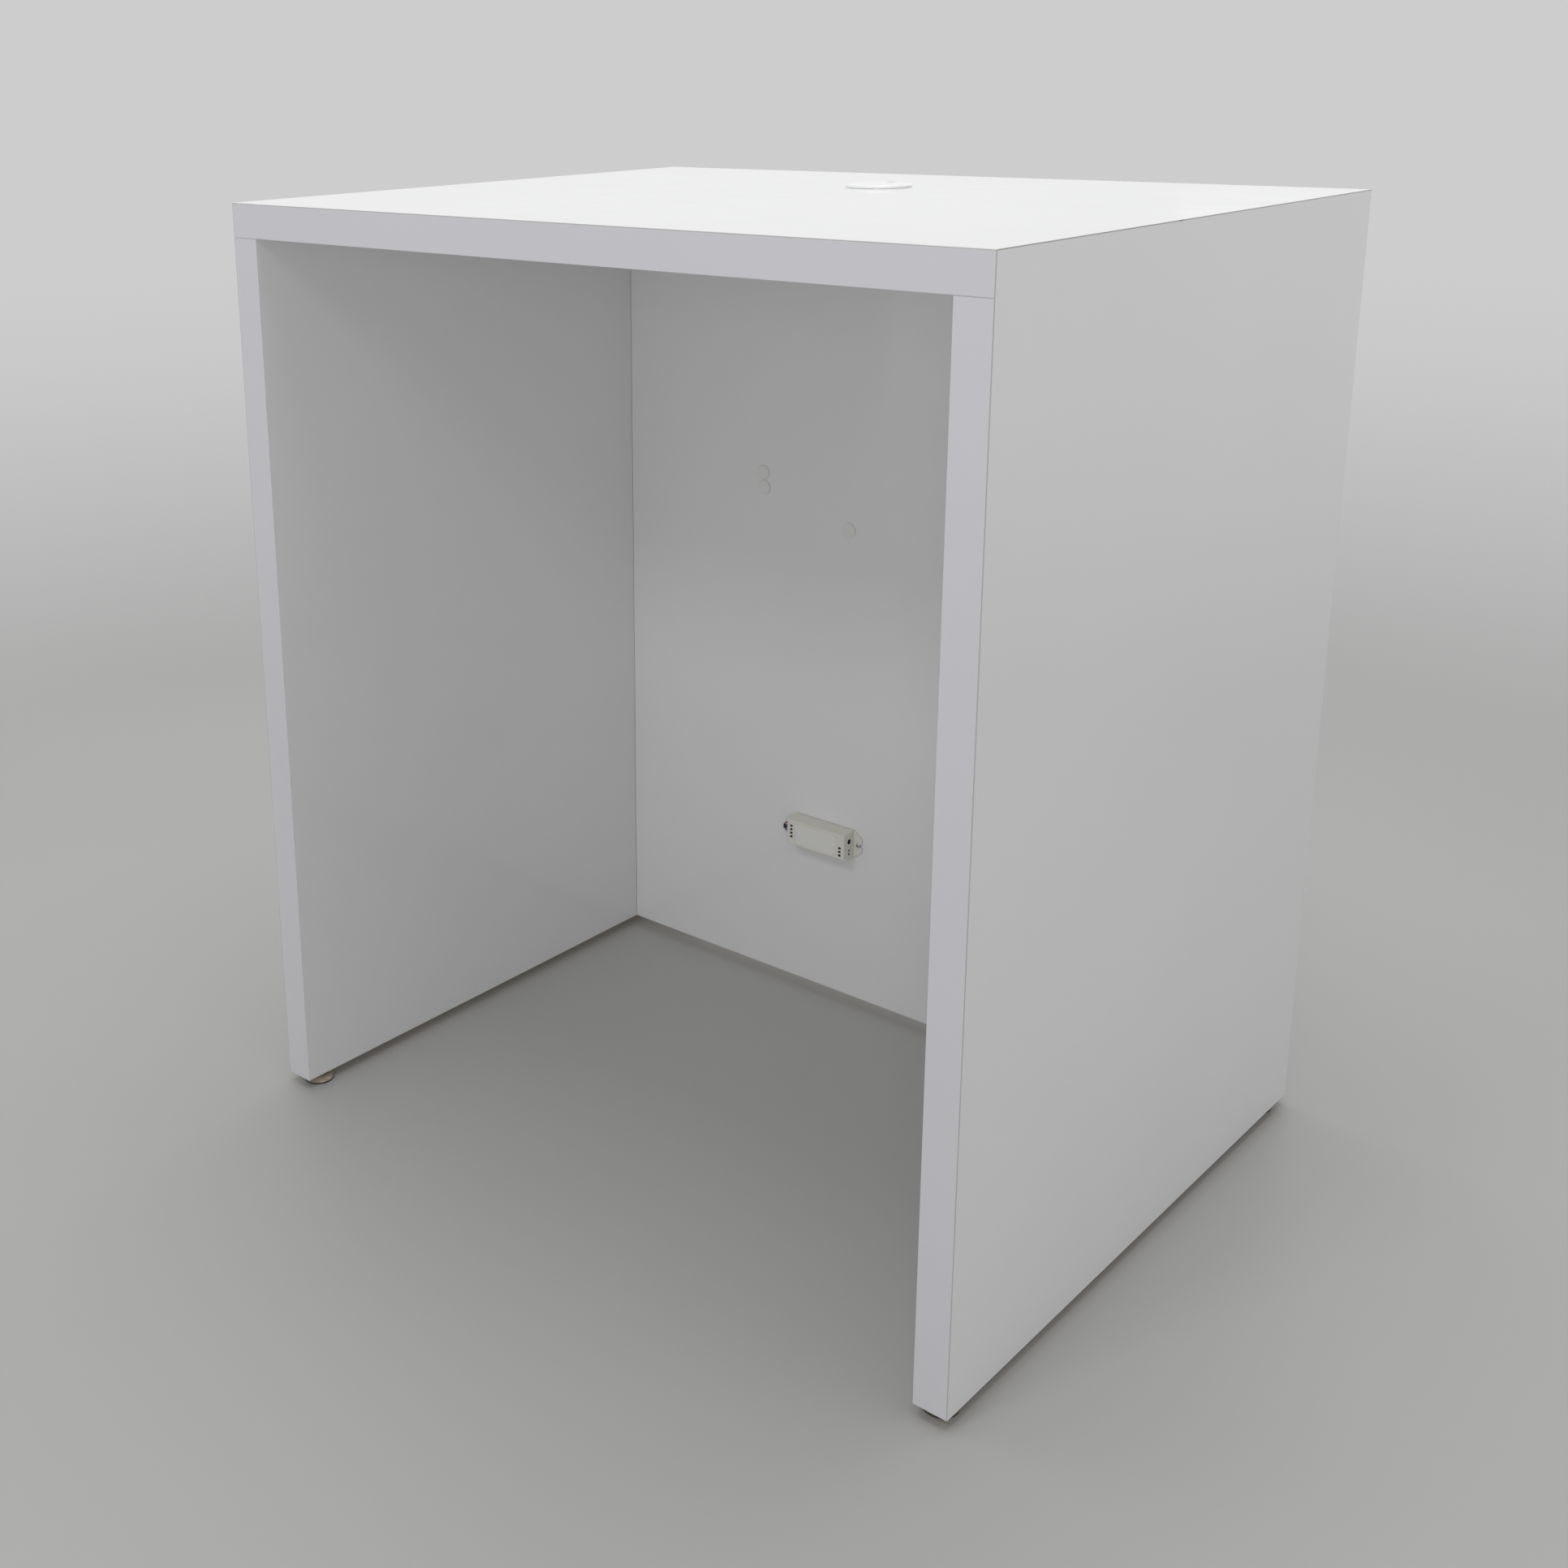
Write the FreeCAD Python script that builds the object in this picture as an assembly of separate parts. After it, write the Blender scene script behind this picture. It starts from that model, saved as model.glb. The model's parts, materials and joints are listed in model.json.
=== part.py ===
import FreeCAD, Part
import math
import os

from FreeCAD import Vector

# Reception desk, seen from the staff side: +X right, +Y towards the visitors, +Z up.
# The origin is on the floor under the middle of the desk. All lengths are in millimetres.

# Desk
desk_width = 965.0
desk_depth = 762.0
desk_height = 1092.0
knee_depth = 626.0
floor_gap = 12.0
board_thickness = 18.0
sheet_thickness = 1.0
arris = 0.5

# Glued tongues that join the panels
tongue_thickness = 6.0
tongue_in_edge = 12.0
tongue_in_face = 10.0
tongue_margin = 40.0
tongue_clearance = 0.1

# Levelling feet
foot_inset = 28.0
foot_from_inside = 14.5
foot_travel = 12.0
pad_diameter = 36.0
pad_top_diameter = 24.0
pad_height = 6.0
pad_rim_height = 2.5
pad_floor = 2.0
thread_diameter = 8.0
neck_diameter = 6.0
collar_across_flats = 13.0
collar_clearance = 0.3
insert_diameter = 12.0
insert_length = 18.0
bore_end_room = 2.0
running_clearance = 0.05
seat_clearance = 0.1

# Cable grommet in the worktop
grommet_from_front_panel = 73.0
grommet_hole_diameter = 63.5
grommet_flange_diameter = 76.0
grommet_flange_height = 4.0
grommet_flange_rounding = 2.5
grommet_sleeve_wall = 2.6
grommet_sleeve_length = 24.0
lid_thickness = 2.4
lid_ledge = 3.6
lid_clearance = 0.2
lid_skirt_wall = 2.0
lid_skirt_height = 7.0
lid_slot_width = 12.0
lid_slot_depth = 9.0

# Stick-on covers on the front panel's inner face: across and above the floor
cover_disc_diameter = 19.0
cover_disc_thickness = 0.9
cover_disc_places = [(-217.0, 715.5), (-215.0, 696.0), (-80.0, 658.5)]
covered_hole_diameter = 8.0
covered_hole_depth = 12.0

# Light controller: across and above the floor, then its own sizes
controller_x = -107.0
controller_z = 235.0
controller_length = 92.4
controller_back_height = 39.0
controller_front_height = 34.6
controller_depth = 24.0
controller_wall = 1.6
controller_rounding = 1.5
label_length = 66.0
label_recess = 0.3
label_margin = 3.0
base_thickness = 2.5
tab_length = 13.0
tab_end_height = 19.4
tab_rounding = 4.0
tab_slot_width = 4.0
tab_slot_depth = 7.0
circuit_thickness = 1.6
circuit_lift = 3.5
circuit_margin = 1.0
post_size = 4.0
post_inset = 5.0

# Terminals and power socket on the circuit board
terminal_pitch = 5.08
terminal_height = 11.0
terminal_length = 9.0
screw_well_diameter = 3.0
screw_well_depth = 2.0
screw_well_from_end = 7.0
output_ways = 4
output_rise = 2.0
input_ways = 3
input_rise = -6.2
input_windows = 2
terminal_hole_length = 4.0
terminal_hole_height = 3.0
entry_depth = 12.0
entry_size = 3.2
entry_pocket = 6.0
socket_gap = 0.3
socket_width = 9.0
socket_height = 9.0
socket_length = 13.0
socket_bore_diameter = 6.4
socket_bore_depth = 9.5
socket_hole_diameter = 7.4

# Mounting screws of the controller
screw_diameter = 3.0
screw_length = 14.0
screw_head_diameter = 6.0
screw_head_height = 1.8
screw_clearance = 0.1

# Leads from the controller through the front panel
lead_diameter = 1.6
lead_sides = 8
lead_hole_diameter = 6.0
lead_hole_x = -174.0
lead_hole_z = 229.0
lead_spacing = 2.4
lead_run_out = 8.0
lead_turn_out = 5.0

# Light channel on the visitors' face of the front panel
channel_height = 17.4
channel_depth = 8.0
channel_wall = 1.2
channel_ledge = 0.6
channel_end_cap = 1.2
channel_end_clearance = 0.2
strip_width = 10.0
strip_thickness = 0.3
chip_size = 5.0
chip_height = 1.6
chip_pitch = 1000.0 / 60.0
diffuser_thickness = 1.2
diffuser_clearance = 0.1

# Worked out from the sizes above
tiny = 1e-6
half_width = desk_width / 2
half_depth = desk_depth / 2
panel_thickness = 2 * board_thickness + 2 * sheet_thickness
side_inner = half_width - panel_thickness
side_middle = half_width - panel_thickness / 2
under_top = desk_height - panel_thickness
board_top = under_top + sheet_thickness
front_inner = knee_depth - half_depth
front_outer = front_inner + board_thickness + 2 * sheet_thickness
front_middle = (front_inner + front_outer) / 2
outer_edge = half_width - sheet_thickness
band_edge = half_depth - sheet_thickness
inner_board_middle = side_inner + sheet_thickness + board_thickness / 2
foot_x = side_inner + foot_from_inside
foot_y = half_depth - foot_inset
stem_top = floor_gap + insert_length + foot_travel
grommet_y = front_inner - grommet_from_front_panel
circuit_front = base_thickness + circuit_lift + circuit_thickness
terminal_front = circuit_front + terminal_height
inner_end = controller_length / 2 - controller_wall
screw_well_x = controller_length / 2 - screw_well_from_end
socket_rise = input_rise + input_ways * terminal_pitch / 2 + socket_gap + socket_width / 2

nodes = {}


def block(x, y, z):
    return Part.makeBox(x[1] - x[0], y[1] - y[0], z[1] - z[0], Vector(x[0], y[0], z[0]))


def rod(diameter, start, end):
    along = end - start
    return Part.makeCylinder(diameter / 2, along.Length, start, along)


def prism(points, along):
    return Part.Face(Part.makePolygon(points + points[:1])).extrude(along)


def turned(profile, centre):
    points = [centre + Vector(radius, 0, height) for radius, height in profile]
    face = Part.Face(Part.makePolygon(points + points[:1]))
    return face.revolve(centre, Vector(0, 0, 1), 360)


def eased(shape, on_arris):
    edges = [edge for edge in shape.Edges if on_arris(edge.CenterOfMass)]
    return shape.makeChamfer(arris, edges)


def same(a, b):
    return abs(a - b) < tiny


def about(middle, size):
    return (middle - size / 2, middle + size / 2)


def mirrored(shape):
    return shape.mirror(Vector(0, 0, 0), Vector(1, 0, 0))


# Tongues: each sits partly in the edge of one panel and partly in the face of another

def side_tongue(room):
    reach = half_depth - tongue_margin + room
    return block(
        about(inner_board_middle, tongue_thickness + 2 * room),
        (-reach, reach),
        (board_top - tongue_in_edge - room, board_top + tongue_in_face + room))


def front_side_tongue(room):
    return block(
        (side_inner - tongue_in_edge - room, side_inner + tongue_in_face + room),
        about(front_middle, tongue_thickness + 2 * room),
        (floor_gap + tongue_margin - room, under_top - tongue_margin + room))


def front_top_tongue(room):
    reach = side_inner - tongue_margin + room
    return block(
        (-reach, reach),
        about(front_middle, tongue_thickness + 2 * room),
        (under_top - tongue_in_edge - room, under_top + tongue_in_face + room))


def both_sides(shape):
    return [shape, mirrored(shape)]


# Levelling feet

def foot_holes():
    holes = []
    for y in (-foot_y, foot_y):
        foot = Vector(foot_x, y, floor_gap)
        up = Vector(0, 0, 1)
        holes += [
            rod(insert_diameter + 2 * seat_clearance, foot, foot + up * insert_length),
            rod(thread_diameter + 2 * seat_clearance, foot, Vector(foot.x, foot.y, stem_top + bore_end_room)),
        ]
    return holes


def insert_nut(centre):
    bore = thread_diameter / 2 + running_clearance
    outer = insert_diameter / 2
    profile = [(bore, 0), (outer, 0), (outer, insert_length), (bore, insert_length)]
    return turned(profile, centre + Vector(0, 0, floor_gap))


def foot_pad(centre):
    socket = neck_diameter / 2 + running_clearance
    profile = [
        (0, 0),
        (pad_diameter / 2, 0),
        (pad_diameter / 2, pad_rim_height),
        (pad_top_diameter / 2, pad_height),
        (socket, pad_height),
        (socket, pad_floor),
        (0, pad_floor),
    ]
    return turned(profile, centre)


def foot_stem(centre):
    collar_radius = collar_across_flats / math.sqrt(3)
    corners = [
        centre + Vector(collar_radius * math.cos(math.radians(60 * k)),
                        collar_radius * math.sin(math.radians(60 * k)), pad_height)
        for k in range(6)
    ]
    collar = prism(corners, Vector(0, 0, floor_gap - collar_clearance - pad_height))
    profile = [
        (0, pad_floor + running_clearance),
        (neck_diameter / 2, pad_floor + running_clearance),
        (neck_diameter / 2, pad_height),
        (thread_diameter / 2, pad_height),
        (thread_diameter / 2, stem_top - arris),
        (thread_diameter / 2 - arris, stem_top),
        (0, stem_top),
    ]
    return turned(profile, centre).fuse(collar).removeSplitter()


def make_feet():
    nuts = []
    for side, x in (("left", -foot_x), ("right", foot_x)):
        for end, y in (("staff", -foot_y), ("visitor", foot_y)):
            centre = Vector(x, y, 0)
            nuts.append(insert_nut(centre))
            nodes[side + "_" + end + "_foot_pad"] = foot_pad(centre)
            nodes[side + "_" + end + "_foot_stem"] = foot_stem(centre)
    nodes["insert_nuts"] = Part.makeCompound(nuts)


# Side panels: built on the right and mirrored to the left

def side_pieces():
    board_y = (-band_edge, band_edge)
    board_z = (floor_gap, board_top)
    joint = side_middle
    holes = foot_holes()
    grooves = [side_tongue(tongue_clearance), front_side_tongue(tongue_clearance)]
    outer_board = block((joint, outer_edge), board_y, board_z).cut(holes)
    inner_board = block((side_inner + sheet_thickness, joint), board_y, board_z).cut(holes + grooves)
    outer_sheet = eased(
        block((outer_edge, half_width), (-half_depth, half_depth), (floor_gap, desk_height - sheet_thickness)),
        lambda p: same(p.x, half_width) and p.z < under_top)
    inner_sheet = eased(
        block((side_inner, side_inner + sheet_thickness), board_y, board_z),
        lambda p: same(p.x, side_inner) and same(p.z, floor_gap)).cut(grooves)
    pieces = {
        "outer_board": outer_board,
        "inner_board": inner_board,
        "outer_sheet": outer_sheet,
        "inner_sheet": inner_sheet,
        "top_tongue": side_tongue(0),
        "front_tongue": front_side_tongue(0),
    }
    for end, way in (("staff", -1), ("visitor", 1)):
        face = way * half_depth
        span = sorted((way * band_edge, face))
        pieces[end + "_band"] = eased(
            block((side_inner, outer_edge), span, (floor_gap, under_top)),
            lambda p: same(p.y, face) and (same(p.x, side_inner) or same(p.z, floor_gap)))
    return pieces


def make_sides():
    for name, shape in side_pieces().items():
        nodes["right_" + name] = shape
        nodes["left_" + name] = mirrored(shape)


# Worktop

def grommet_hole():
    return rod(grommet_hole_diameter, Vector(0, grommet_y, under_top), Vector(0, grommet_y, desk_height))


def make_worktop():
    across = (-outer_edge, outer_edge)
    along = (-band_edge, band_edge)
    front_groove = front_top_tongue(tongue_clearance)
    grooves = both_sides(side_tongue(tongue_clearance)) + [front_groove]
    joint = board_top + board_thickness
    upper = (joint, joint + board_thickness)
    nodes["top_lower_board"] = block(across, along, (board_top, joint)).cut(grooves + [grommet_hole()])
    nodes["top_upper_board"] = block(across, along, upper).cut(grommet_hole())
    nodes["top_sheet"] = eased(
        block((-half_width, half_width), (-half_depth, half_depth), (upper[1], desk_height)),
        lambda p: same(p.z, desk_height)).cut(grommet_hole())
    nodes["top_under_sheet"] = block(
        (-side_inner, side_inner), along, (under_top, board_top)).cut([front_groove, grommet_hole()])
    nodes["top_front_tongue"] = front_top_tongue(0)
    for end, way in (("staff", -1), ("visitor", 1)):
        face = way * half_depth
        nodes["top_" + end + "_band"] = eased(
            block(across, sorted((way * band_edge, face)), (under_top, upper[1])),
            lambda p: same(p.y, face) and same(p.z, under_top))


# Grommet

def grommet_liner():
    sleeve = grommet_hole_diameter / 2 - seat_clearance
    bore = sleeve - grommet_sleeve_wall
    ledge = bore + lid_ledge
    seat = grommet_flange_height - lid_thickness
    profile = [
        (bore, -grommet_sleeve_length),
        (sleeve, -grommet_sleeve_length),
        (sleeve, 0),
        (grommet_flange_diameter / 2, 0),
        (grommet_flange_diameter / 2, grommet_flange_height),
        (ledge + lid_clearance, grommet_flange_height),
        (ledge + lid_clearance, seat),
        (bore, seat),
    ]
    liner = turned(profile, Vector(0, grommet_y, desk_height))
    rim = [
        edge for edge in liner.Edges
        if edge.Closed
        and same(edge.Curve.Radius, grommet_flange_diameter / 2)
        and same(edge.CenterOfMass.z, desk_height + grommet_flange_height)
    ]
    return liner.makeFillet(grommet_flange_rounding, rim)


def grommet_lid():
    bore = grommet_hole_diameter / 2 - seat_clearance - grommet_sleeve_wall
    skirt = bore - running_clearance
    edge = bore + lid_ledge
    seat = grommet_flange_height - lid_thickness
    profile = [
        (0, seat),
        (skirt - lid_skirt_wall, seat),
        (skirt - lid_skirt_wall, seat - lid_skirt_height),
        (skirt, seat - lid_skirt_height),
        (skirt, seat),
        (edge, seat),
        (edge, grommet_flange_height - arris),
        (edge - arris, grommet_flange_height),
        (0, grommet_flange_height),
    ]
    centre = Vector(0, grommet_y, desk_height)
    reach = bore - lid_slot_depth + lid_slot_width / 2
    low = Vector(0, grommet_y + reach, desk_height + seat - 2 * lid_skirt_height)
    high = Vector(0, grommet_y + reach, desk_height + 2 * grommet_flange_height)
    slot_half = lid_slot_width / 2
    mouth = block((-slot_half, slot_half), (low.y, grommet_y + grommet_flange_diameter), (low.z, high.z))
    return turned(profile, centre).cut([rod(lid_slot_width, low, high), mouth])


# Front panel

def through_front(diameter, x, z, depth):
    return rod(diameter, Vector(x, front_inner, z), Vector(x, front_inner + depth, z))


def front_holes():
    holes = [through_front(lead_hole_diameter, lead_hole_x, lead_hole_z, front_outer - front_inner)]
    for x, z in cover_disc_places:
        holes.append(through_front(covered_hole_diameter, x, z, covered_hole_depth))
    for place in mounting_screw_places():
        size = screw_diameter + 2 * screw_clearance
        holes.append(through_front(size, place.x, place.z, screw_length))
    return holes


def make_front():
    across = (-side_inner, side_inner)
    up = (floor_gap, under_top)
    inner = (front_inner, front_inner + sheet_thickness)
    outer = (front_outer - sheet_thickness, front_outer)
    grooves = both_sides(front_side_tongue(tongue_clearance)) + [front_top_tongue(tongue_clearance)]
    nodes["front_board"] = block(across, (inner[1], outer[0]), up).cut(grooves + front_holes())
    nodes["front_inner_sheet"] = eased(
        block(across, inner, up),
        lambda p: same(p.y, front_inner) and same(p.z, floor_gap)).cut(front_holes())
    nodes["front_outer_sheet"] = eased(
        block(across, outer, up),
        lambda p: same(p.y, front_outer) and same(p.z, floor_gap)).cut(front_holes())


def make_cover_discs():
    discs = []
    for x, z in cover_disc_places:
        face = Vector(x, front_inner, z)
        disc = rod(cover_disc_diameter, face, face - Vector(0, cover_disc_thickness, 0))
        rim = [edge for edge in disc.Edges if same(edge.CenterOfMass.y, front_inner - cover_disc_thickness)]
        discs.append(disc.makeChamfer(cover_disc_thickness / 2, rim))
    nodes["cover_discs"] = Part.makeCompound(discs)


# Light controller: local places are along the case, out of the panel and up from its middle

def at(x, out, z):
    return Vector(controller_x + x, front_inner - out, controller_z + z)


def local_block(x, out, z):
    low = at(x[0], out[1], z[0])
    high = at(x[1], out[0], z[1])
    return block((low.x, high.x), (low.y, high.y), (low.z, high.z))


def way_places(ways, rise):
    return [rise + terminal_pitch * ((ways - 1) / 2 - step) for step in range(ways)]


def mounting_screw_places():
    x = controller_length / 2 + tab_length - tab_slot_depth + tab_slot_width / 2
    return [at(way * x, base_thickness, 0) for way in (-1, 1)]


def controller_base():
    case_half = controller_length / 2
    tab_half = case_half + tab_length
    back_half = controller_back_height / 2
    end_half = tab_end_height / 2
    quarter = [(case_half, back_half), (tab_half, end_half)]
    outline = quarter + [(x, -z) for x, z in reversed(quarter)]
    outline += [(-x, -z) for x, z in quarter] + [(-x, z) for x, z in reversed(quarter)]
    plate = prism([at(x, 0, z) for x, z in outline], Vector(0, -base_thickness, 0))
    corners = [
        edge for edge in plate.Edges
        if same(abs(edge.CenterOfMass.x - controller_x), tab_half)
        and same(abs(edge.CenterOfMass.z - controller_z), end_half)
    ]
    plate = plate.makeFillet(tab_rounding, corners)
    for way, screw in zip((-1, 1), mounting_screw_places()):
        slot_end = screw.x - controller_x
        mouth = sorted((slot_end, way * (tab_half + tab_slot_depth)))
        plate = plate.cut([
            local_block(mouth, (-1, 2 * base_thickness), about(0, tab_slot_width)),
            rod(tab_slot_width, at(slot_end, -1, 0), at(slot_end, 2 * base_thickness, 0)),
        ])
    posts = []
    for x in (post_inset - inner_end, inner_end - post_inset):
        for z in (post_inset - controller_front_height / 2, controller_front_height / 2 - post_inset):
            post = (about(x, post_size), (0, base_thickness + circuit_lift), about(z, post_size))
            posts.append(local_block(*post))
    return plate.fuse(posts).removeSplitter()


def controller_profile(x, wall):
    back = controller_back_height / 2 - wall
    front = controller_front_height / 2 - wall
    depth = controller_depth - wall
    return [at(x, base_thickness, -back), at(x, depth, -front), at(x, depth, front), at(x, base_thickness, back)]


def controller_cover():
    case_half = controller_length / 2
    cover = prism(controller_profile(-case_half, 0), Vector(controller_length, 0, 0))
    front_edges = [e for e in cover.Edges if same(e.CenterOfMass.y, front_inner - controller_depth)]
    cover = cover.makeFillet(controller_rounding, front_edges)
    hollow = prism(controller_profile(-inner_end, controller_wall), Vector(2 * inner_end, 0, 0))
    face = (controller_depth - 2 * controller_wall, controller_depth + controller_wall)
    label_height = controller_front_height - 2 * label_margin
    label = local_block(
        about(0, label_length), (controller_depth - label_recess, face[1]), about(0, label_height))
    holes = [hollow, label]
    for way, ways, rise in ((-1, output_ways, output_rise), (1, input_ways, input_rise)):
        for z in way_places(ways, rise):
            x = about(way * screw_well_x, terminal_hole_length)
            holes.append(local_block(x, face, about(z, terminal_hole_height)))
    windows = [(-1, z) for z in way_places(output_ways, output_rise)]
    windows += [(1, z) for z in way_places(input_ways, input_rise)[-input_windows:]]
    for way, z in windows:
        end = sorted((way * (inner_end - controller_wall), way * (case_half + controller_wall)))
        holes.append(local_block(end, about(entry_depth, entry_size), about(z, entry_size)))
    holes.append(rod(
        socket_hole_diameter,
        at(inner_end - controller_wall, entry_depth, socket_rise),
        at(case_half + controller_wall, entry_depth, socket_rise)))
    return cover.cut(holes)


def terminal_block(way, ways, rise):
    end = way * (inner_end - seat_clearance)
    x = sorted((end, end - way * terminal_length))
    body = local_block(x, (circuit_front, terminal_front), about(rise, ways * terminal_pitch))
    holes = []
    for z in way_places(ways, rise):
        pocket = sorted((end + way, end - way * entry_pocket))
        holes.append(local_block(pocket, about(entry_depth, entry_size), about(z, entry_size)))
        holes.append(rod(
            screw_well_diameter,
            at(way * screw_well_x, terminal_front - screw_well_depth, z),
            at(way * screw_well_x, terminal_front, z)))
    return body.cut(holes)


def power_socket():
    end = inner_end - seat_clearance
    body = local_block(
        (end - socket_length, end),
        (circuit_front, circuit_front + socket_height),
        about(socket_rise, socket_width))
    mouth = at(end, entry_depth, socket_rise)
    bottom = at(end - socket_bore_depth, entry_depth, socket_rise)
    return body.cut(rod(socket_bore_diameter, bottom, mouth))


def mounting_screw(place):
    inward = Vector(0, 1, 0)
    head = rod(screw_head_diameter, place, place - inward * screw_head_height)
    rim = [e for e in head.Edges if same(e.CenterOfMass.y, place.y - screw_head_height)]
    shank = rod(screw_diameter, place, place + inward * screw_length)
    return head.makeChamfer(screw_head_height / 2, rim).fuse(shank).removeSplitter()


def make_controller():
    nodes["controller_base"] = controller_base()
    nodes["controller_cover"] = controller_cover()
    circuit_half = controller_front_height / 2 - controller_wall - circuit_margin
    nodes["circuit_board"] = local_block(
        (circuit_margin - inner_end, inner_end - circuit_margin),
        (base_thickness + circuit_lift, circuit_front),
        (-circuit_half, circuit_half))
    nodes["output_terminals"] = terminal_block(-1, output_ways, output_rise)
    nodes["input_terminals"] = terminal_block(1, input_ways, input_rise)
    nodes["power_socket"] = power_socket()
    nodes["controller_screws"] = Part.makeCompound(
        [mounting_screw(place) for place in mounting_screw_places()])


# Leads: straight out of a terminal, then turning back into the hole in the front panel

def rounded_path(points):
    edges = []
    radii = []
    start = points[0]
    for before, corner, after in zip(points, points[1:], points[2:]):
        inward = (corner - before).normalize()
        outward = (after - corner).normalize()
        tangent = 0.45 * min((corner - before).Length, (after - corner).Length)
        half_turn = inward.getAngle(outward) / 2
        radius = tangent / math.tan(half_turn)
        bisector = (outward - inward).normalize()
        middle = corner + bisector * (radius / math.cos(half_turn) - radius)
        first = corner - inward * tangent
        last = corner + outward * tangent
        edges += [Part.LineSegment(start, first).toShape(), Part.Arc(first, middle, last).toShape()]
        radii.append(round(radius, 1))
        start = last
    edges.append(Part.LineSegment(start, points[-1]).toShape())
    return Part.Wire(edges), radii


def lead(name, terminal_z, bundle_x, bundle_z):
    terminal_end = -(inner_end - seat_clearance - entry_pocket)
    case_end = -controller_length / 2
    hole_x = lead_hole_x + bundle_x
    hole_z = lead_hole_z + bundle_z
    points = [
        at(terminal_end, entry_depth, terminal_z),
        at(case_end - lead_run_out, entry_depth, terminal_z),
        Vector(hole_x, front_inner - lead_turn_out, hole_z),
        Vector(hole_x, front_outer + channel_wall, hole_z),
    ]
    path, radii = rounded_path(points)
    turns = [2 * math.pi * side / lead_sides for side in range(lead_sides)]
    corners = [points[0] + Vector(0, math.cos(turn), math.sin(turn)) * lead_diameter / 2 for turn in turns]
    section = Part.makePolygon(corners + corners[:1])
    tube = path.makePipeShell([section], True, False)
    ideal = path.Length * Part.Face(section).Area
    print(name, "bend radii", radii, "volume over section times length", round(tube.Volume / ideal, 4))
    return tube


def make_leads():
    offset = lead_spacing / 2
    corners = [(-offset, offset), (offset, offset), (-offset, -offset), (offset, -offset)]
    colours = ["red", "blue", "green", "black"]
    for colour, z, (x_step, z_step) in zip(colours, way_places(output_ways, output_rise), corners):
        nodes["lead_" + colour] = lead("lead_" + colour, z, x_step, z_step)


# Light channel

def make_light():
    half = side_inner - channel_end_clearance - channel_end_cap
    back = front_outer
    front = front_outer + channel_depth
    outer_half = channel_height / 2
    inner_half = outer_half - channel_wall
    ledge_front = front - diffuser_thickness
    ledge_back = ledge_front - channel_wall
    ledge_half = inner_half - channel_ledge
    side = [
        (back, outer_half),
        (front, outer_half),
        (front, inner_half),
        (ledge_front, inner_half),
        (ledge_front, ledge_half),
        (ledge_back, ledge_half),
        (ledge_back, inner_half),
        (back + channel_wall, inner_half),
    ]
    outline = side + [(y, -z) for y, z in reversed(side)]
    section = [Vector(-half, y, lead_hole_z + z) for y, z in outline]
    wire_hole = rod(
        lead_hole_diameter, Vector(lead_hole_x, back, lead_hole_z), Vector(lead_hole_x, front, lead_hole_z))
    channel = prism(section, Vector(2 * half, 0, 0))
    nodes["light_channel"] = channel.cut(wire_hole)
    floor = back + channel_wall
    tape_front = floor + strip_thickness
    span = (-half, half)
    tape = block(span, (floor, tape_front), about(lead_hole_z, strip_width))
    count = int((2 * half - chip_size) / chip_pitch)
    chips = []
    for step in range(count + 1):
        x = chip_pitch * (step - count / 2)
        chips.append(block(
            about(x, chip_size), (tape_front, tape_front + chip_height), about(lead_hole_z, chip_size)))
    nodes["light_strip"] = tape.fuse(chips)
    diffuser_height = 2 * (inner_half - diffuser_clearance)
    nodes["light_diffuser"] = block(span, (ledge_front, front), about(lead_hole_z, diffuser_height))
    ends = [sorted((way * half, way * (half + channel_end_cap))) for way in (-1, 1)]
    nodes["light_end_caps"] = Part.makeCompound(
        [block(end, (back, front), about(lead_hole_z, channel_height)) for end in ends])


make_sides()
make_worktop()
make_front()
make_feet()
nodes["grommet_liner"] = grommet_liner()
nodes["grommet_lid"] = grommet_lid()
make_cover_discs()
make_controller()
make_leads()
make_light()

os.makedirs("parts", exist_ok=True)
for name, shape in nodes.items():
    if not shape.isValid():
        print("not valid:", name)
    shape.exportStep(os.path.join("parts", name + ".step"))
print(len(nodes), "nodes written")
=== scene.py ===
import bpy
import json
import math
from mathutils import Matrix, Vector


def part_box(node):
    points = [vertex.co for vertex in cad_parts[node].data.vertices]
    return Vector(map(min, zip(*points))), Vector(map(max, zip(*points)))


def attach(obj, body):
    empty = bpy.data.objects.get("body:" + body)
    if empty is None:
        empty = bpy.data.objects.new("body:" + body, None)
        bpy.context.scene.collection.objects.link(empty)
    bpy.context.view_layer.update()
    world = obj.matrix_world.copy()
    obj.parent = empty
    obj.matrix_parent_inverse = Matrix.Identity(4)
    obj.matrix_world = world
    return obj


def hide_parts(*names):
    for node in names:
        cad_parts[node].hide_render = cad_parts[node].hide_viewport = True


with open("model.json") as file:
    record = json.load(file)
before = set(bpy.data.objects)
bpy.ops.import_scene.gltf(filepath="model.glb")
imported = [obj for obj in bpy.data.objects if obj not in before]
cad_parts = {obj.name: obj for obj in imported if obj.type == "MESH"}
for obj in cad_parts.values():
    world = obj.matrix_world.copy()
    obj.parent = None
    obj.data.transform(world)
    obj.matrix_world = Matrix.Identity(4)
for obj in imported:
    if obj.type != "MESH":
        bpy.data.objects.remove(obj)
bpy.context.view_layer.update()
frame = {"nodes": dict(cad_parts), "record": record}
cadNodes = frame["nodes"]
mm = 0.001
sideways, forwards, upwards = 0, 1, 2  # the frame's axes
print("frame loaded:", len(cadNodes), "nodes")


# Camera, at the photograph's place and angle

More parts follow.
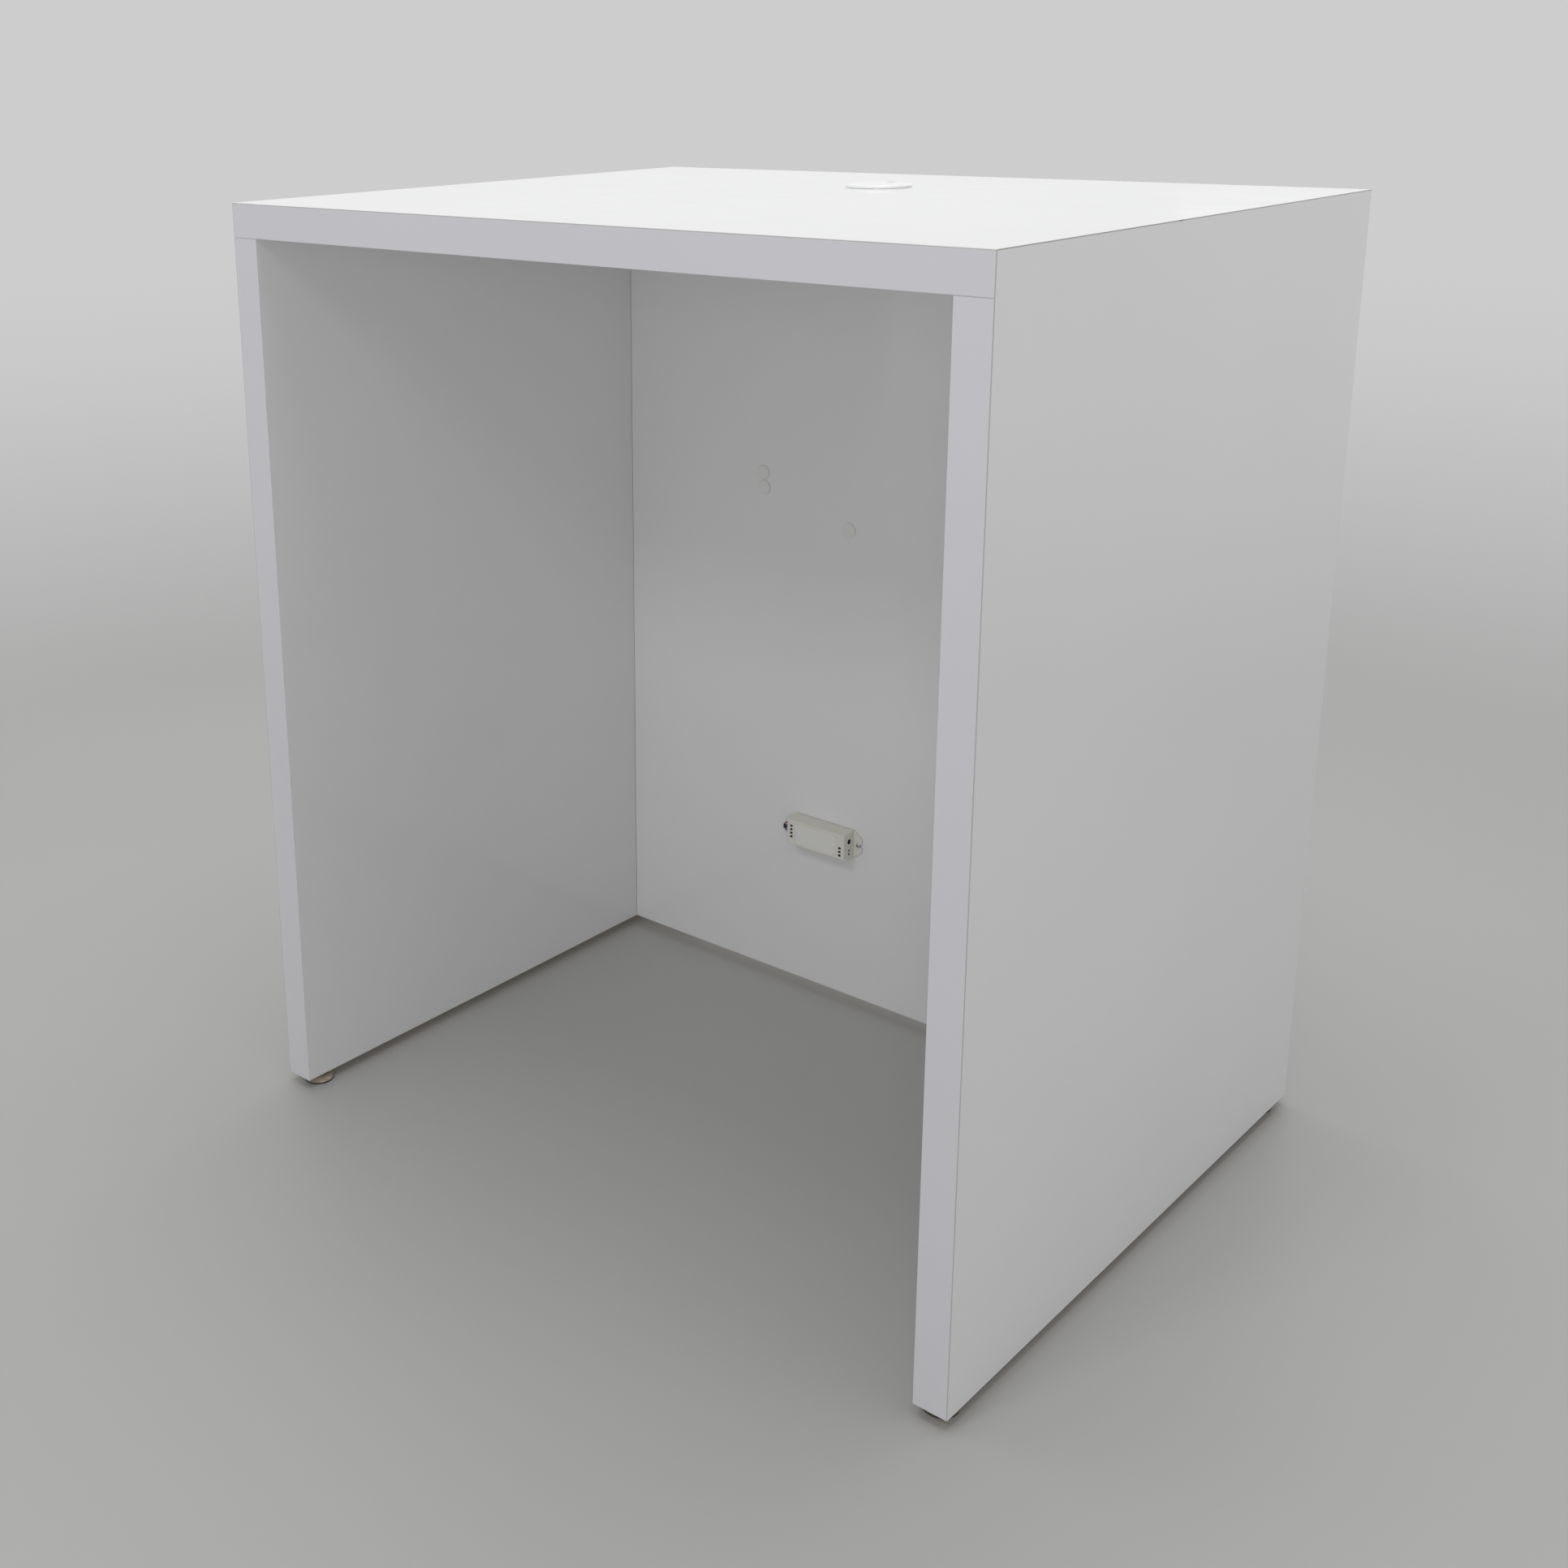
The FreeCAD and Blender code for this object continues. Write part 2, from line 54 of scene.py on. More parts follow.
cameraValues = {
    "place": (1.245, -1.6807, 1.2393),  # metres
    "turn": 42.811,  # degrees to the left of straight ahead
    "tilt": -15.947,
    "roll": -0.997,
    "lens": 43.166,
    "sensor": 36.0,
    "shift": (0.127, -0.12),
}


def makeCamera(values):
    turn, tilt, roll = (math.radians(values[key]) for key in ("turn", "tilt", "roll"))
    level = Matrix.Rotation(turn, 3, "Z") @ Matrix.Rotation(math.pi / 2 + tilt, 3, "X")
    aim = level @ Matrix.Rotation(roll, 3, "Z")
    bpy.ops.object.camera_add(location=values["place"], rotation=aim.to_euler())
    camera = bpy.context.object
    camera.data.lens = values["lens"]
    camera.data.sensor_width = values["sensor"]
    camera.data.shift_x, camera.data.shift_y = values["shift"]
    bpy.context.scene.camera = camera


makeCamera(cameraValues)
print("camera placed")


# Node helpers

noiseRange = (0.3, 0.7)  # most of a noise's values lie between these


def addNode(tree, kind, inputs=None, **settings):
    node = tree.nodes.new("ShaderNode" + kind)
    for key, value in settings.items():
        setattr(node, key, value)
    for key, value in (inputs or {}).items():
        if isinstance(value, bpy.types.NodeSocket):
            tree.links.new(value, node.inputs[key])
        else:
            node.inputs[key].default_value = value
    return node


def startFinish(name, **constants):
    finish = bpy.data.materials.new(name)
    finish.use_nodes = True
    tree = finish.node_tree
    shader = tree.nodes["Principled BSDF"]
    for key, value in constants.items():
        shader.inputs[key].default_value = value
    place = addNode(tree, "TexCoord")
    return finish, tree, shader, place


def noise(tree, vector, scale, detail=2.0, roughness=0.5):
    inputs = {"Vector": vector, "Scale": scale, "Detail": detail, "Roughness": roughness}
    return addNode(tree, "TexNoise", inputs).outputs["Fac"]


def stretched(tree, vector, scale):
    return addNode(tree, "Mapping", {"Vector": vector, "Scale": scale}).outputs["Vector"]


def remap(tree, value, low, high, newLow=0.0, newHigh=1.0, kind="LINEAR"):
    inputs = {"Value": value, "From Min": low, "From Max": high, "To Min": newLow, "To Max": newHigh}
    return addNode(tree, "MapRange", inputs, interpolation_type=kind).outputs["Result"]


def maths(tree, operation, first, second=0.0):
    return addNode(tree, "Math", {0: first, 1: second}, operation=operation).outputs[0]


def mixed(tree, share, first, second):
    node = addNode(tree, "Mix", {0: share}, data_type="RGBA")
    for socket, colour in ((node.inputs[6], first), (node.inputs[7], second)):
        if isinstance(colour, bpy.types.NodeSocket):
            tree.links.new(colour, socket)
        else:
            socket.default_value = (*colour, 1.0)
    return node.outputs[2]


def axisParts(tree, vector):
    return addNode(tree, "SeparateXYZ", {0: vector}).outputs


def bump(tree, shader, height, distance, strength=1.0):
    inputs = {"Height": height, "Distance": distance, "Strength": strength}
    node = addNode(tree, "Bump", inputs)
    tree.links.new(node.outputs["Normal"], shader.inputs["Normal"])


def colourFrom(tree, shader, colour):
    tree.links.new(colour, shader.inputs["Base Color"])


def roughnessFrom(tree, shader, value):
    tree.links.new(value, shader.inputs["Roughness"])


def giveFinish(names, finish):
    for name in names:
        slots = cadNodes[name].material_slots
        for slot in slots:
            slot.material = finish


# Studio: pale floor, even air light and soft lamps on every side

studioValues = {
    "air": (0.612, 0.612, 0.617),
    "airShare": 0.67,  # how much of the air's brightness lights the desk
    "mirrorShare": 1.35,  # how bright the air is in reflections
    "lamps": {
        "overhead": {"place": (0.0, 0.0, 3.4), "aim": (0.0, 0.0, 0.0), "size": 2.2, "power": 35.0},
        "staffSide": {"place": (-0.25, -3.0, 3.3), "aim": (-0.1, 0.2, 0.4), "size": 0.6, "power": 12.0},
        "staffRight": {"place": (2.0, -3.0, 3.3), "aim": (-0.3, 0.1, 0.4), "size": 0.8, "power": 7.4},
        "lowFill": {"place": (3.0, -5.3, 1.5), "aim": (0.0, 0.0, 0.7), "size": 1.6, "power": 29.5},
        "rightSide": {"place": (3.4, 0.4, 2.4), "aim": (0.45, 0.0, 0.6), "size": 2.0, "power": 7.0},
        "leftSide": {"place": (-3.4, 0.4, 2.4), "aim": (-0.45, 0.0, 0.6), "size": 2.0, "power": 7.0},
        "visitorSide": {"place": (-0.3, 3.4, 2.4), "aim": (0.0, 0.3, 0.6), "size": 2.0, "power": 7.0},
    },
    "floorRadius": 40.0,
    "floorRoughness": 0.5,
    "driftScale": 1.3,
    "floorNear": (0.49, 0.49, 0.48),
    "floorDrift": (0.515, 0.515, 0.505),
    "fadeStart": 1.9,  # metres from the desk where the floor begins to fade into the air
    "fadeEnd": 16.0,
}


def makeFloorFinish(values):
    finish, tree, shader, place = startFinish("paleFloor", Roughness=values["floorRoughness"])
    spot = place.outputs["Object"]
    drift = noise(tree, spot, values["driftScale"], detail=3.0)
    near = mixed(tree, drift, values["floorNear"], values["floorDrift"])
    distance = addNode(tree, "VectorMath", {0: spot}, operation="LENGTH").outputs["Value"]
    nearness = maths(tree, "DIVIDE", 1.0, distance)
    fade = remap(tree, nearness, 1 / values["fadeStart"], 1 / values["fadeEnd"], kind="SMOOTHSTEP")
    colourFrom(tree, shader, near)
    # the far floor is as bright as the air, in reflections too
    mirrored = addNode(tree, "LightPath").outputs["Is Glossy Ray"]
    glow = remap(tree, mirrored, 0.0, 1.0, 1.0, values["mirrorShare"])
    far = addNode(tree, "Emission", {"Color": (*values["air"], 1.0), "Strength": glow})
    ends = {0: fade, 1: shader.outputs["BSDF"], 2: far.outputs["Emission"]}
    surface = addNode(tree, "MixShader", ends).outputs["Shader"]
    tree.links.new(surface, tree.nodes["Material Output"].inputs["Surface"])
    return finish


def addSoftLight(place, aim, size, power):
    turn = (Vector(aim) - Vector(place)).to_track_quat("-Z", "Y").to_euler()
    bpy.ops.object.light_add(type="AREA", location=place, rotation=turn)
    lamp = bpy.context.object
    lamp.visible_camera = False
    lamp.data.size = size
    lamp.data.energy = power


def makeStudio(values):
    scene = bpy.context.scene
    scene.view_settings.view_transform = "Standard"
    world = bpy.data.worlds.new("studioAir")
    world.use_nodes = True
    tree = world.node_tree
    back = tree.nodes["Background"]
    back.inputs["Color"].default_value = (*values["air"], 1.0)
    rays = addNode(tree, "LightPath").outputs
    lighting = remap(tree, rays["Is Diffuse Ray"], 0.0, 1.0, 1.0, values["airShare"])
    mirrored = remap(tree, rays["Is Glossy Ray"], 0.0, 1.0, 1.0, values["mirrorShare"])
    tree.links.new(maths(tree, "MULTIPLY", lighting, mirrored), back.inputs["Strength"])
    scene.world = world
    for lamp in values["lamps"].values():
        addSoftLight(**lamp)
    bpy.ops.mesh.primitive_circle_add(vertices=96, radius=values["floorRadius"], fill_type="NGON")
    floor = bpy.context.object
    floor.name = "studioFloor"
    floor.data.materials.append(makeFloorFinish(values))


makeStudio(studioValues)
print("studio lit")


# White gloss laminate: a faintly waved gloss face, and the sheet's own core wherever its edge shows

laminateValues = {
    "face": (0.86, 0.86, 0.865),
    "smudge": (0.848, 0.848, 0.855),
    # bands: a darker, bluer copy of the face: painted shade, tinted with painted cool light from the
    # staff side
    "bandFaceCoolShade": (0.775, 0.775, 0.81),
    "bandSmudgeCoolShade": (0.763, 0.763, 0.80),
    "endEdge": (0.36, 0.345, 0.31),  # sheet edges on the worktop's ends
    "longEdge": (0.52, 0.52, 0.50),  # sheet edges along the staff and visitors' sides
    "cornerEdge": (0.53, 0.525, 0.505),  # sheet edges down the corners of the sides
    "chip": (0.13, 0.105, 0.075),
    "rawEdge": (0.78, 0.66, 0.60),
    "rawHeight": 16.0 * mm,  # edges below this are left raw
    # painted shadow in the gaps where the front sheets meet the side and under-top sheets, with dirt in
    # them
    "jointShadeLine": (0.10, 0.095, 0.09),
    # painted shade in the seam between the top and leg bands, with dirt
    "seamShadeLine": (0.52, 0.52, 0.54),
    "lineWidth": 0.7 * mm,
    "lineCore": 0.3,  # the line is darkest in this share of its width
    "ior": 1.5,
    "roughness": (0.08, 0.12),
    "cloudScale": 4.0,
    "cloudRange": (0.35, 0.7),
    "smearScale": 9.0,
    "smearStretch": (1.0, 1.0, 2.5),
    "smearRange": (0.3, 0.75),
    "chipScale": 55.0,
    "chipRange": (0.6, 0.66),
    "waveScale": 60.0,
    "waveHeight": 0.000004,
    "faceShare": 0.9,  # a normal this close to the face's own belongs to the face
    "alongShare": 0.5,  # a normal this close to straight ahead belongs to a long edge
    "underShare": 0.3,  # a normal that leans down this much belongs to an underside
}


def laminateEdge(tree, spot, normals, edges, values):
    flaws = noise(tree, spot, values["chipScale"], detail=4.0, roughness=0.7)
    chips = remap(tree, flaws, *values["chipRange"])
    end = mixed(tree, chips, values[edges[0]], values["chip"])
    facing = maths(tree, "ABSOLUTE", normals[forwards])
    facesAlong = maths(tree, "GREATER_THAN", facing, values["alongShare"])
    return mixed(tree, facesAlong, end, values[edges[1]])


def laminateFace(tree, spot, tones, lines, values):
    cloud = noise(tree, spot, values["cloudScale"], detail=3.0)
    face = mixed(tree, remap(tree, cloud, *values["cloudRange"]), values[tones[0]], values[tones[1]])
    width = values["lineWidth"]
    # each line darkens the face along a joint: painted shade in the joint's gap, with dirt
    for axis, line, tone in lines:
        reach = maths(tree, "ABSOLUTE", axisParts(tree, spot)[axis])
        atLine = remap(tree, reach, line - width, line - width * values["lineCore"])
        face = mixed(tree, atLine, face, values[tone])
    return face


def makeLaminate(name, faceAxis, values, edges=None, tones=("face", "smudge"), lines=()):
    finish, tree, shader, place = startFinish(name, IOR=values["ior"])
    spot = place.outputs["Object"]
    normals = axisParts(tree, place.outputs["Normal"])
    face = laminateFace(tree, spot, tones, lines, values)
    onEdge = maths(tree, "LESS_THAN", maths(tree, "ABSOLUTE", normals[faceAxis]), values["faceShare"])
    edge = laminateEdge(tree, spot, normals, edges, values) if edges else values[tones[0]]
    below = maths(tree, "LESS_THAN", normals[upwards], -values["underShare"])
    low = maths(tree, "LESS_THAN", axisParts(tree, spot)[upwards], values["rawHeight"])
    edge = mixed(tree, maths(tree, "MULTIPLY", below, low), edge, values["rawEdge"])
    colourFrom(tree, shader, mixed(tree, onEdge, face, edge))
    smear = noise(tree, stretched(tree, spot, values["smearStretch"]), values["smearScale"], detail=3.0)
    roughnessFrom(tree, shader, remap(tree, smear, *values["smearRange"], *values["roughness"]))
    bump(tree, shader, noise(tree, spot, values["waveScale"], detail=1.0), values["waveHeight"])
    return finish


def finishPanels(values):
    sides = ("left_", "right_")
    ends = ("staff", "visitor")
    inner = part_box("front_inner_sheet")[1].x
    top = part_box("top_under_sheet")[0].z
    giveFinish(["top_sheet"], makeLaminate("laminateTop", upwards, values, ("endEdge", "longEdge")))
    outside = makeLaminate("laminateOutside", sideways, values, ("cornerEdge", "cornerEdge"))
    giveFinish([s + "outer_sheet" for s in sides], outside)
    giveFinish([s + "inner_sheet" for s in sides], makeLaminate("laminateInside", sideways, values))
    # painted joint shadows on the front sheets, beside the side sheets and under the top
    lines = [(sideways, inner, "jointShadeLine"), (upwards, top, "jointShadeLine")]
    front = makeLaminate("laminateFront", forwards, values, lines=lines)
    giveFinish(["front_inner_sheet", "front_outer_sheet"], front)
    giveFinish(["top_under_sheet"], makeLaminate("laminateUnder", upwards, values))
    # the bands' painted cool shade
    tones = ("bandFaceCoolShade", "bandSmudgeCoolShade")
    topBand = makeLaminate("laminateTopBand", forwards, values, tones=tones)
    giveFinish(["top_" + e + "_band" for e in ends], topBand)
    # painted shade along the leg bands' seam with the top bands
    lines = [(upwards, top, "seamShadeLine")]
    legBand = makeLaminate("laminateLegBand", forwards, values, tones=tones, lines=lines)
    giveFinish([s + e + "_band" for s in sides for e in ends], legBand)


finishPanels(laminateValues)
print("panels finished")


# Raw boards and tongues

boardValues = {
    "chipLight": (0.60, 0.44, 0.27),
    "chipDark": (0.30, 0.20, 0.11),
    "chipScale": 420.0,
    "chipRange": (0.05, 0.5),
    "chipHeight": 0.4 * mm,
    "grainScale": 60.0,
    "boardRoughness": 0.85,
    "plyLight": (0.70, 0.54, 0.34),
    "plyDark": (0.45, 0.30, 0.17),
    "plyScale": 900.0,
    "plyStretch": (1.0, 0.04, 1.0),
    "plyRange": (0.35, 0.65),
    "plyHeight": 0.2 * mm,
    "plyRoughness": 0.7,
}


def makeBoardFinish(values):
    finish, tree, shader, place = startFinish("rawBoard", Roughness=values["boardRoughness"])
    spot = place.outputs["Object"]
    chips = addNode(tree, "TexVoronoi", {"Vector": spot, "Scale": values["chipScale"]})
    grain = noise(tree, spot, values["grainScale"], detail=6.0, roughness=0.7)
    shade = maths(tree, "MULTIPLY", axisParts(tree, chips.outputs["Color"])[0], grain)
    lightness = remap(tree, shade, *values["chipRange"])
    colourFrom(tree, shader, mixed(tree, lightness, values["chipDark"], values["chipLight"]))
    bump(tree, shader, chips.outputs["Distance"], values["chipHeight"])
    return finish


def makePlywoodFinish(values):
    finish, tree, shader, place = startFinish("tonguePlywood", Roughness=values["plyRoughness"])
    spot = place.outputs["Object"]
    layers = noise(tree, stretched(tree, spot, values["plyStretch"]), values["plyScale"], detail=3.0)
    darkness = remap(tree, layers, *values["plyRange"])
    colourFrom(tree, shader, mixed(tree, darkness, values["plyLight"], values["plyDark"]))
    bump(tree, shader, layers, values["plyHeight"])
    return finish


def finishBoards(values):
    boards = [name for name in cadNodes if name.endswith("_board") and name != "circuit_board"]
    tongues = [name for name in cadNodes if name.endswith("_tongue")]
    giveFinish(boards, makeBoardFinish(values))
    giveFinish(tongues, makePlywoodFinish(values))


finishBoards(boardValues)
print("boards finished")


# Moulded plastics

plasticValues = {
    "lid": {
        "tones": ((0.93, 0.93, 0.925), (0.92, 0.92, 0.918)),
        "roughness": (0.13, 0.17),
        "grain": 900.0,
        "height": 0.000003,
    },
    "terminal": {
        "tones": ((0.012, 0.06, 0.028), (0.008, 0.045, 0.02)),
        "roughness": (0.4, 0.5),
        "grain": 2000.0,
        "height": 0.00001,
    },
    "socket": {
        "tones": ((0.02, 0.02, 0.02), (0.03, 0.03, 0.03)),
        "roughness": (0.35, 0.5),
        "grain": 2000.0,
        "height": 0.00001,
    },
    "endCap": {
        "tones": ((0.50, 0.51, 0.52), (0.46, 0.47, 0.48)),
        "roughness": (0.4, 0.5),
        "grain": 1500.0,
        "height": 0.00002,
    },
}
cloudCoarseness = 12.0  # how much coarser than the grain the clouds in the colour are
smearCoarseness = 5.0  # and the smears in the gloss


def makePlastic(name, values):
    finish, tree, shader, place = startFinish(name + "Plastic")
    spot = place.outputs["Object"]
    cloud = noise(tree, spot, values["grain"] / cloudCoarseness, detail=4.0, roughness=0.6)
    colourFrom(tree, shader, mixed(tree, remap(tree, cloud, *noiseRange), *values["tones"]))
    smear = noise(tree, spot, values["grain"] / smearCoarseness, detail=3.0)
    roughnessFrom(tree, shader, remap(tree, smear, *noiseRange, *values["roughness"]))
    bump(tree, shader, noise(tree, spot, values["grain"], detail=1.0), values["height"])
    return finish


# A plastic piece with one dark band of painted shade: contact shadow along a foot pad's bottom rim,
# contact shadow with dirt in the seam under the grommet's flange

bandedValues = {
    "grommet": {
        "tones": ((0.93, 0.93, 0.925), (0.915, 0.915, 0.913)),
        # painted contact shadow, with dirt, in the seam under the flange
        "shadeBandTone": (0.28, 0.28, 0.28),
        "shadeBandHeights": (1091.8 * mm, 1092.3 * mm),
        "blend": 0.15 * mm,
        "cloudRange": (0.35, 0.65),
        "roughness": (0.12, 0.18),
        "grain": 900.0,
        "height": 0.000004,
    },
    "foot": {
        "tones": ((0.60, 0.54, 0.43), (0.36, 0.31, 0.24)),
        # painted contact shadow along the pad's bottom rim
        "shadeBandTone": (0.045, 0.035, 0.028),
        "shadeBandHeights": (-2.0 * mm, 2.2 * mm),
        "blend": 0.6 * mm,
        "cloudRange": (0.35, 0.65),
        "roughness": (0.35, 0.6),
        "grain": 1100.0,
        "height": 0.00006,
    },
}
bandedCoarseness = 6.0  # how much coarser than the grain the clouds are here


def makeBandedPlastic(name, values):
    finish, tree, shader, place = startFinish(name + "Plastic")
    spot = place.outputs["Object"]
    cloud = noise(tree, spot, values["grain"] / bandedCoarseness, detail=5.0, roughness=0.65)
    body = mixed(tree, remap(tree, cloud, *values["cloudRange"]), *values["tones"])
    low, high = values["shadeBandHeights"]
    middle, half, blend = (low + high) / 2, (high - low) / 2, values["blend"]
    fromMiddle = maths(tree, "ABSOLUTE", maths(tree, "SUBTRACT", axisParts(tree, spot)[upwards], middle))
    outside = remap(tree, fromMiddle, half - blend, half + blend)
    # the band's dark tone is painted shade
    colourFrom(tree, shader, mixed(tree, outside, values["shadeBandTone"], body))
    roughnessFrom(tree, shader, remap(tree, cloud, *noiseRange, *values["roughness"]))
    bump(tree, shader, noise(tree, spot, values["grain"], detail=1.0), values["height"])
    return finish


# Controller case: cream moulding, with painted shade in its openings and painted shadow, with dust, along
# its seams

caseValues = {
    "tones": ((0.83, 0.81, 0.75), (0.79, 0.77, 0.71)),
    "openingShadeTone": (0.022, 0.04, 0.028),
    "openingShadeDepth": 0.45 * mm,  # painted shade in the openings begins this far below the skin
    # painted contact shadow, with dust, where the cover meets the base and the base meets the panel
    "seamShadowTone": (0.20, 0.19, 0.17),
    "seamWidth": 0.4 * mm,
    "seamReach": 0.1 * mm,  # how far the seam's painted shadow line may pass the cover's ends
    "frontHeight": 34.6 * mm,
    "backHeight": 39.0 * mm,
    "roughness": (0.42, 0.52),
    "grain": 2200.0,
    "grainHeight": 0.00003,
}


# mask for the openings' walls, where painted shade stands in for the shadow inside the case
def caseOpeningShade(tree, parts, values):
    low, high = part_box("controller_cover")
    deep = values["openingShadeDepth"]
    fromX = maths(tree, "ABSOLUTE", maths(tree, "SUBTRACT", parts[sideways], (low.x + high.x) / 2))
    fromZ = maths(tree, "ABSOLUTE", maths(tree, "SUBTRACT", parts[upwards], (low.z + high.z) / 2))
    halves = [values[key] / 2 - deep for key in ("frontHeight", "backHeight")]
    halfZ = remap(tree, parts[forwards], low.y, high.y, *halves)
    inside = maths(tree, "GREATER_THAN", parts[forwards], low.y + deep)
    inside = maths(tree, "MULTIPLY", inside, maths(tree, "LESS_THAN", fromX, (high.x - low.x) / 2 - deep))
    return maths(tree, "MULTIPLY", inside, maths(tree, "LESS_THAN", fromZ, halfZ))


# mask for painted shadow along the cover's join with the base and the base's contact with the panel
def caseSeamShadow(tree, parts, values):
    low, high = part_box("controller_cover")
    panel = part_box("controller_base")[1].y
    fromX = maths(tree, "ABSOLUTE", maths(tree, "SUBTRACT", parts[sideways], (low.x + high.x) / 2))
    fromJoin = maths(tree, "ABSOLUTE", maths(tree, "SUBTRACT", parts[forwards], high.y))
    join = maths(tree, "LESS_THAN", fromJoin, values["seamWidth"] / 2)
    reach = (high.x - low.x) / 2 + values["seamReach"]
    join = maths(tree, "MULTIPLY", join, maths(tree, "LESS_THAN", fromX, reach))
    atPanel = maths(tree, "GREATER_THAN", parts[forwards], panel - values["seamWidth"])
    return maths(tree, "MAXIMUM", join, atPanel)


def makeCaseFinish(values):
    finish, tree, shader, place = startFinish("casePlastic")
    spot = place.outputs["Object"]
    parts = axisParts(tree, spot)
    cloud = noise(tree, spot, values["grain"] / cloudCoarseness, detail=4.0, roughness=0.6)
    body = mixed(tree, remap(tree, cloud, *noiseRange), *values["tones"])
    # painted shadow along the seams, then painted shade in the openings
    seamed = mixed(tree, caseSeamShadow(tree, parts, values), body, values["seamShadowTone"])
    colourFrom(tree, shader, mixed(tree, caseOpeningShade(tree, parts, values), seamed, values["openingShadeTone"]))
    smear = noise(tree, spot, values["grain"] / smearCoarseness, detail=3.0)
    roughnessFrom(tree, shader, remap(tree, smear, *noiseRange, *values["roughness"]))
    bump(tree, shader, noise(tree, spot, values["grain"], detail=1.0), values["grainHeight"])
    return finish


# Stick-on covers: pale face, cream bevel and a rim darkened with painted shadow

discValues = {
    "face": (0.845, 0.84, 0.825),
    "fleck": (0.82, 0.815, 0.80),
    "bevel": (0.83, 0.815, 0.78),
    # painted shadow on the disc's outer wall
    "rim": (0.16, 0.14, 0.11),
    "rimShare": 0.3,  # how far a rim's normal may lean out of the panel
    "faceShare": 0.9,  # a normal this close to straight out belongs to the face
    "fleckScale": 900.0,
    "fleckRange": (0.4, 0.7),
    "fleckHeight": 0.00001,
    "roughness": (0.18, 0.3),
}


def makeDiscFinish(values):
    finish, tree, shader, place = startFinish("coverDisc")
    spot = place.outputs["Object"]
    flecks = noise(tree, spot, values["fleckScale"], detail=3.0)
    face = mixed(tree, remap(tree, flecks, *values["fleckRange"]), values["face"], values["fleck"])
    facing = maths(tree, "ABSOLUTE", axisParts(tree, place.outputs["Normal"])[forwards])
    onBevel = maths(tree, "LESS_THAN", facing, values["faceShare"])
    # the rim's dark tone is painted shadow
    onShadedRim = maths(tree, "LESS_THAN", facing, values["rimShare"])
    bevelled = mixed(tree, onBevel, face, values["bevel"])
    colourFrom(tree, shader, mixed(tree, onShadedRim, bevelled, values["rim"]))
    roughnessFrom(tree, shader, remap(tree, flecks, *noiseRange, *values["roughness"]))
    bump(tree, shader, flecks, values["fleckHeight"])
    return finish


def finishPlastics():
    users = {
        "lid": ["grommet_lid"],
        "terminal": ["output_terminals", "input_terminals"],
        "socket": ["power_socket"],
        "endCap": ["light_end_caps"],
    }
    for name, nodes in users.items():
        giveFinish(nodes, makePlastic(name, plasticValues[name]))
    giveFinish(["controller_base", "controller_cover"], makeCaseFinish(caseValues))
    giveFinish(["grommet_liner"], makeBandedPlastic("grommet", bandedValues["grommet"]))
    feet = [name for name in cadNodes if name.endswith("_foot_pad")]
    giveFinish(feet, makeBandedPlastic("foot", bandedValues["foot"]))
    giveFinish(["cover_discs"], makeDiscFinish(discValues))


finishPlastics()
print("plastics finished")


# Metals

steelValues = {
    "zinc": {"tones": ((0.66, 0.67, 0.68), (0.50, 0.50, 0.49)), "roughness": (0.22, 0.38)},
    "dullSteel": {"tones": ((0.22, 0.215, 0.20), (0.14, 0.135, 0.125)), "roughness": (0.38, 0.55)},
    "cloudScale": 260.0,
    "grainScale": 1800.0,
    "grainHeight": 0.00001,
}
channelValues = {
    "tones": ((0.80, 0.81, 0.82), (0.70, 0.71, 0.72)),
    "roughness": (0.32, 0.42),
    "drawnScale": 1600.0,
    "drawnStretch": (0.01, 1.0, 1.0),
    "drawnHeight": 0.00001,
}


def makeSteel(name, own, values):
    finish, tree, shader, place = startFinish(name, Metallic=1.0)
    spot = place.outputs["Object"]
    cloud = noise(tree, spot, values["cloudScale"], detail=4.0, roughness=0.6)
    colourFrom(tree, shader, mixed(tree, cloud, *own["tones"]))
    roughnessFrom(tree, shader, remap(tree, cloud, *noiseRange, *own["roughness"]))
    bump(tree, shader, noise(tree, spot, values["grainScale"]), values["grainHeight"])
    return finish


def makeAnodised(values):
    finish, tree, shader, place = startFinish("satinChannel", Metallic=1.0)
    lengthwise = stretched(tree, place.outputs["Object"], values["drawnStretch"])
    drawn = noise(tree, lengthwise, values["drawnScale"], detail=3.0)
    colourFrom(tree, shader, mixed(tree, drawn, *values["tones"]))
    roughnessFrom(tree, shader, remap(tree, drawn, *noiseRange, *values["roughness"]))
    bump(tree, shader, drawn, values["drawnHeight"])
    return finish


zinc = makeSteel("brightZinc", steelValues["zinc"], steelValues)
dullSteel = makeSteel("dullSteel", steelValues["dullSteel"], steelValues)
giveFinish(["insert_nuts"], zinc)
giveFinish(["light_channel"], makeAnodised(channelValues))
print("metals finished")


# Circuit board, light strip and its opal cover

